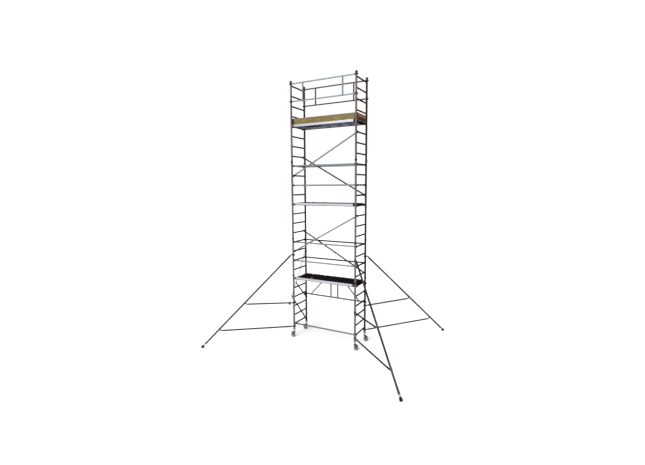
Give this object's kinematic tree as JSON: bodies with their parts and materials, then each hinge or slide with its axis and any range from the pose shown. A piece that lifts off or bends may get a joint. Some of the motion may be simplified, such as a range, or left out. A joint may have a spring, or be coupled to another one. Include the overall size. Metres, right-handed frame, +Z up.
{
  "type": "mobile tower scaffold",
  "caption": "Narrow aluminium mobile access tower on braked castors, with trapdoor platforms, guardrails, toe boards, diagonal braces and telescopic corner stabilisers.",
  "frame": {"origin": "on the floor, midway between the four standards", "axes": "+Z up, +X along the platforms, +Y across the platforms from front to back"},
  "size_m": [5.2822, 4.1322, 6.75],
  "materials": {
    "frame_alloy": "mill-finished extruded tube",
    "brace_alloy": "mill-finished extruded tube",
    "stabiliser_alloy": "weathered grey tube",
    "platform_alloy": "extruded beam",
    "hook_black": "black painted casting",
    "collar_nylon": "black nylon",
    "deck_ply": "phenolic-faced plywood with a textured face",
    "toe_ply": "varnished plywood",
    "toe_end_ply": "red-brown stained plywood",
    "clip_black": "black moulding",
    "nut_zinc": "zinc plated casting",
    "leg_steel": "zinc plated tube",
    "castor_steel": "zinc plated pressing",
    "wheel_grey": "grey tyre on a moulded centre",
    "pedal_dark": "black painted pressing",
    "foot_rubber": "black rubber foot on a grey tube"
  },
  "bodies": {
    "tower": {"base_frame_left": "frame_alloy", "base_frame_right": "frame_alloy", "frame_1m_left": "frame_alloy", "frame_1m_right": "frame_alloy", "mid_frame_left": "frame_alloy", "mid_frame_right": "frame_alloy", "top_frame_left": "frame_alloy", "top_frame_right": "frame_alloy", "frame_lock_collars": "collar_nylon", "base_brace": "brace_alloy", "guardrails": "brace_alloy", "diagonal_braces": "brace_alloy", "brace_hooks": "hook_black", "brace_latches": "hook_black", "platform_frame_lower": "platform_alloy", "platform_deck_lower": "deck_ply", "platform_frame_middle": "platform_alloy", "platform_deck_middle": "deck_ply", "platform_frame_upper": "platform_alloy", "platform_deck_upper": "deck_ply", "platform_hooks": "hook_black", "toe_boards_side": "toe_ply", "toe_boards_end": "toe_end_ply", "toe_board_clips": "clip_black", "guard_frame_front": "brace_alloy", "guard_frame_back": "brace_alloy", "guard_frame_clamps": "hook_black", "fold_gate_left": "brace_alloy", "fold_gate_right": "brace_alloy"},
    "trapdoor_lower": {"trapdoor_lower": "deck_ply"},
    "trapdoor_middle": {"trapdoor_middle": "deck_ply"},
    "trapdoor_upper": {"trapdoor_upper": "deck_ply"},
    "leg_front_left": {"adjustable_leg_front_left": "leg_steel"},
    "nut_front_left": {"adjusting_nut_front_left": "nut_zinc"},
    "castor_front_left": {"castor_fork_front_left": "castor_steel"},
    "wheel_front_left": {"castor_wheel_front_left": "wheel_grey"},
    "pedal_front_left": {"brake_pedal_front_left": "pedal_dark"},
    "stabiliser_front_left": {"stabiliser_front_left": "stabiliser_alloy"},
    "stabiliser_foot_front_left": {"stabiliser_foot_front_left": "foot_rubber"},
    "leg_front_right": {"adjustable_leg_front_right": "leg_steel"},
    "nut_front_right": {"adjusting_nut_front_right": "nut_zinc"},
    "castor_front_right": {"castor_fork_front_right": "castor_steel"},
    "wheel_front_right": {"castor_wheel_front_right": "wheel_grey"},
    "pedal_front_right": {"brake_pedal_front_right": "pedal_dark"},
    "stabiliser_front_right": {"stabiliser_front_right": "stabiliser_alloy"},
    "stabiliser_foot_front_right": {"stabiliser_foot_front_right": "foot_rubber"},
    "leg_back_left": {"adjustable_leg_back_left": "leg_steel"},
    "nut_back_left": {"adjusting_nut_back_left": "nut_zinc"},
    "castor_back_left": {"castor_fork_back_left": "castor_steel"},
    "wheel_back_left": {"castor_wheel_back_left": "wheel_grey"},
    "pedal_back_left": {"brake_pedal_back_left": "pedal_dark"},
    "stabiliser_back_left": {"stabiliser_back_left": "stabiliser_alloy"},
    "stabiliser_foot_back_left": {"stabiliser_foot_back_left": "foot_rubber"},
    "leg_back_right": {"adjustable_leg_back_right": "leg_steel"},
    "nut_back_right": {"adjusting_nut_back_right": "nut_zinc"},
    "castor_back_right": {"castor_fork_back_right": "castor_steel"},
    "wheel_back_right": {"castor_wheel_back_right": "wheel_grey"},
    "pedal_back_right": {"brake_pedal_back_right": "pedal_dark"},
    "stabiliser_back_right": {"stabiliser_back_right": "stabiliser_alloy"},
    "stabiliser_foot_back_right": {"stabiliser_foot_back_right": "foot_rubber"}
  },
  "joints": [
    {"name": "trapdoor_lower_hinge", "type": "hinge", "parent": "tower", "child": "trapdoor_lower", "pos_m": [-0.415, 0.228, 1.6803], "axis": [-1, 0, 0], "range_deg": [0, 90]},
    {"name": "trapdoor_middle_hinge", "type": "hinge", "parent": "tower", "child": "trapdoor_middle", "pos_m": [-0.415, 0.228, 3.6803], "axis": [-1, 0, 0], "range_deg": [0, 90]},
    {"name": "trapdoor_upper_hinge", "type": "hinge", "parent": "tower", "child": "trapdoor_upper", "pos_m": [-0.415, 0.228, 5.6803], "axis": [-1, 0, 0], "range_deg": [0, 90]},
    {"name": "nut_front_left_spin", "type": "hinge", "parent": "tower", "child": "nut_front_left", "pos_m": [-0.9, -0.325, 0.225], "axis": [0, 0, 1], "range_deg": [0, 11240]},
    {"name": "leg_front_left_slide", "type": "slide", "parent": "tower", "child": "leg_front_left", "axis": [0, 0, -1], "range_m": [0, 0.25]},
    {"name": "castor_front_left_swivel", "type": "hinge", "parent": "leg_front_left", "child": "castor_front_left", "pos_m": [-0.9, -0.325, 0.156], "axis": [0, 0, 1], "continuous": true},
    {"name": "wheel_front_left_spin", "type": "hinge", "parent": "castor_front_left", "child": "wheel_front_left", "pos_m": [-0.935, -0.325, 0.0625], "axis": [0, 1, 0], "continuous": true},
    {"name": "pedal_front_left_press", "type": "hinge", "parent": "castor_front_left", "child": "pedal_front_left", "pos_m": [-0.944, -0.325, 0.138], "axis": [0, -1, 0], "range_deg": [0, 12]},
    {"name": "stabiliser_front_left_swing", "type": "hinge", "parent": "tower", "child": "stabiliser_front_left", "pos_m": [-0.9, -0.325, 1.3], "axis": [0, 0, 1], "range_deg": [-45, 45]},
    {"name": "stabiliser_front_left_telescope", "type": "slide", "parent": "stabiliser_front_left", "child": "stabiliser_foot_front_left", "axis": [-0.5097, -0.5097, -0.6932], "range_m": [0, 0.5]},
    {"name": "nut_front_right_spin", "type": "hinge", "parent": "tower", "child": "nut_front_right", "pos_m": [0.9, -0.325, 0.225], "axis": [0, 0, 1], "range_deg": [0, 11240]},
    {"name": "leg_front_right_slide", "type": "slide", "parent": "tower", "child": "leg_front_right", "axis": [0, 0, -1], "range_m": [0, 0.25]},
    {"name": "castor_front_right_swivel", "type": "hinge", "parent": "leg_front_right", "child": "castor_front_right", "pos_m": [0.9, -0.325, 0.156], "axis": [0, 0, 1], "continuous": true},
    {"name": "wheel_front_right_spin", "type": "hinge", "parent": "castor_front_right", "child": "wheel_front_right", "pos_m": [0.935, -0.325, 0.0625], "axis": [0, 1, 0], "continuous": true},
    {"name": "pedal_front_right_press", "type": "hinge", "parent": "castor_front_right", "child": "pedal_front_right", "pos_m": [0.944, -0.325, 0.138], "axis": [0, 1, 0], "range_deg": [0, 12]},
    {"name": "stabiliser_front_right_swing", "type": "hinge", "parent": "tower", "child": "stabiliser_front_right", "pos_m": [0.9, -0.325, 1.3], "axis": [0, 0, 1], "range_deg": [-45, 45]},
    {"name": "stabiliser_front_right_telescope", "type": "slide", "parent": "stabiliser_front_right", "child": "stabiliser_foot_front_right", "axis": [0.5097, -0.5097, -0.6932], "range_m": [0, 0.5]},
    {"name": "nut_back_left_spin", "type": "hinge", "parent": "tower", "child": "nut_back_left", "pos_m": [-0.9, 0.325, 0.225], "axis": [0, 0, 1], "range_deg": [0, 11240]},
    {"name": "leg_back_left_slide", "type": "slide", "parent": "tower", "child": "leg_back_left", "axis": [0, 0, -1], "range_m": [0, 0.25]},
    {"name": "castor_back_left_swivel", "type": "hinge", "parent": "leg_back_left", "child": "castor_back_left", "pos_m": [-0.9, 0.325, 0.156], "axis": [0, 0, 1], "continuous": true},
    {"name": "wheel_back_left_spin", "type": "hinge", "parent": "castor_back_left", "child": "wheel_back_left", "pos_m": [-0.935, 0.325, 0.0625], "axis": [0, 1, 0], "continuous": true},
    {"name": "pedal_back_left_press", "type": "hinge", "parent": "castor_back_left", "child": "pedal_back_left", "pos_m": [-0.944, 0.325, 0.138], "axis": [0, -1, 0], "range_deg": [0, 12]},
    {"name": "stabiliser_back_left_swing", "type": "hinge", "parent": "tower", "child": "stabiliser_back_left", "pos_m": [-0.9, 0.325, 1.3], "axis": [0, 0, 1], "range_deg": [-45, 45]},
    {"name": "stabiliser_back_left_telescope", "type": "slide", "parent": "stabiliser_back_left", "child": "stabiliser_foot_back_left", "axis": [-0.5097, 0.5097, -0.6932], "range_m": [0, 0.5]},
    {"name": "nut_back_right_spin", "type": "hinge", "parent": "tower", "child": "nut_back_right", "pos_m": [0.9, 0.325, 0.225], "axis": [0, 0, 1], "range_deg": [0, 11240]},
    {"name": "leg_back_right_slide", "type": "slide", "parent": "tower", "child": "leg_back_right", "axis": [0, 0, -1], "range_m": [0, 0.25]},
    {"name": "castor_back_right_swivel", "type": "hinge", "parent": "leg_back_right", "child": "castor_back_right", "pos_m": [0.9, 0.325, 0.156], "axis": [0, 0, 1], "continuous": true},
    {"name": "wheel_back_right_spin", "type": "hinge", "parent": "castor_back_right", "child": "wheel_back_right", "pos_m": [0.935, 0.325, 0.0625], "axis": [0, 1, 0], "continuous": true},
    {"name": "pedal_back_right_press", "type": "hinge", "parent": "castor_back_right", "child": "pedal_back_right", "pos_m": [0.944, 0.325, 0.138], "axis": [0, 1, 0], "range_deg": [0, 12]},
    {"name": "stabiliser_back_right_swing", "type": "hinge", "parent": "tower", "child": "stabiliser_back_right", "pos_m": [0.9, 0.325, 1.3], "axis": [0, 0, 1], "range_deg": [-45, 45]},
    {"name": "stabiliser_back_right_telescope", "type": "slide", "parent": "stabiliser_back_right", "child": "stabiliser_foot_back_right", "axis": [0.5097, 0.5097, -0.6932], "range_m": [0, 0.5]}
  ],
  "couplings": [
    {"joint": "leg_front_left_slide", "follows": "nut_front_left_spin", "m_per_rad": 0.0012732},
    {"joint": "leg_front_right_slide", "follows": "nut_front_right_spin", "m_per_rad": 0.0012732},
    {"joint": "leg_back_left_slide", "follows": "nut_back_left_spin", "m_per_rad": 0.0012732},
    {"joint": "leg_back_right_slide", "follows": "nut_back_right_spin", "m_per_rad": 0.0012732}
  ]
}
